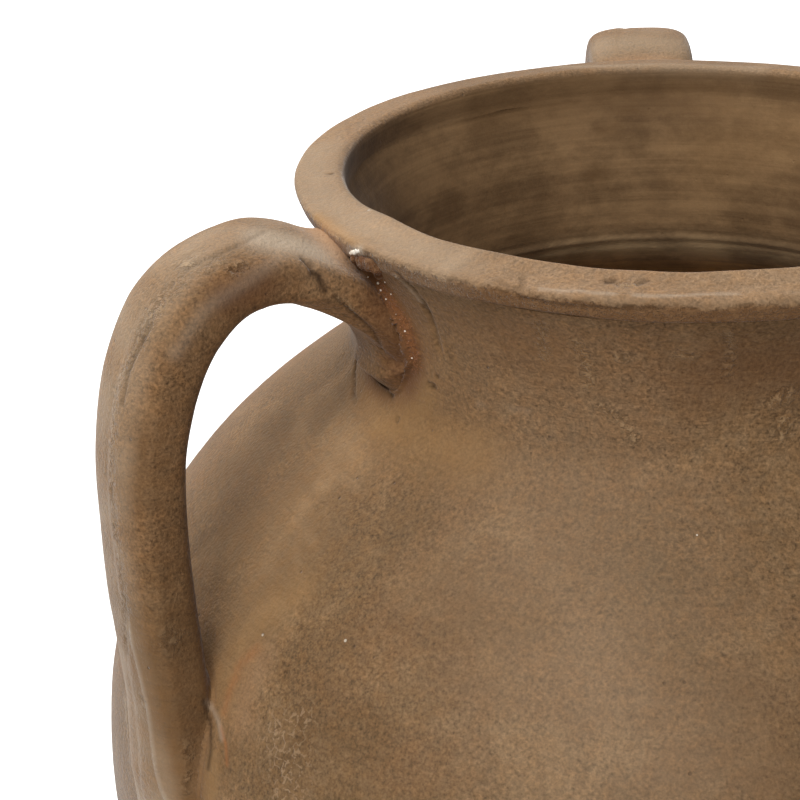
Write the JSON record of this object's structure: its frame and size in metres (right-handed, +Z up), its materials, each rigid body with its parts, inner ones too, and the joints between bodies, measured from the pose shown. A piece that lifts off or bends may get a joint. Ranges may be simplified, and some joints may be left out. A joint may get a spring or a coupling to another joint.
{
  "type": "three-handled vase",
  "caption": "Round-bellied terracotta vase with a flat everted lip, a short pinched neck and pulled strap handles set round the shoulder; stands on a flat foot and holds water, stems or grain.",
  "frame": {"origin": "centre of the flat underside of the foot", "axes": "+Z up along the vase's turning axis, +Y towards the back handle, +X to the right seen from the front"},
  "size_m": [0.3024, 0.3041, 0.3217],
  "materials": {
    "wall_clay": "matt, unglazed, mottled brown",
    "lip_clay": "matt, unglazed, pale tan",
    "handle_clay": "matt, unglazed, rough",
    "luting_clay": "matt, unglazed, smeared slip"
  },
  "bodies": {
    "root": {"base_slab": "wall_clay", "lower_wall": "wall_clay", "shoulder_wall": "wall_clay", "neck_collar": "wall_clay", "rim_lip": "lip_clay", "handle_left": "handle_clay", "handle_back": "handle_clay", "handle_right": "handle_clay", "upper_luting_left": "luting_clay", "upper_luting_back": "luting_clay", "upper_luting_right": "luting_clay", "lower_luting_left": "luting_clay", "lower_luting_back": "luting_clay", "lower_luting_right": "luting_clay"}
  },
  "joints": []
}
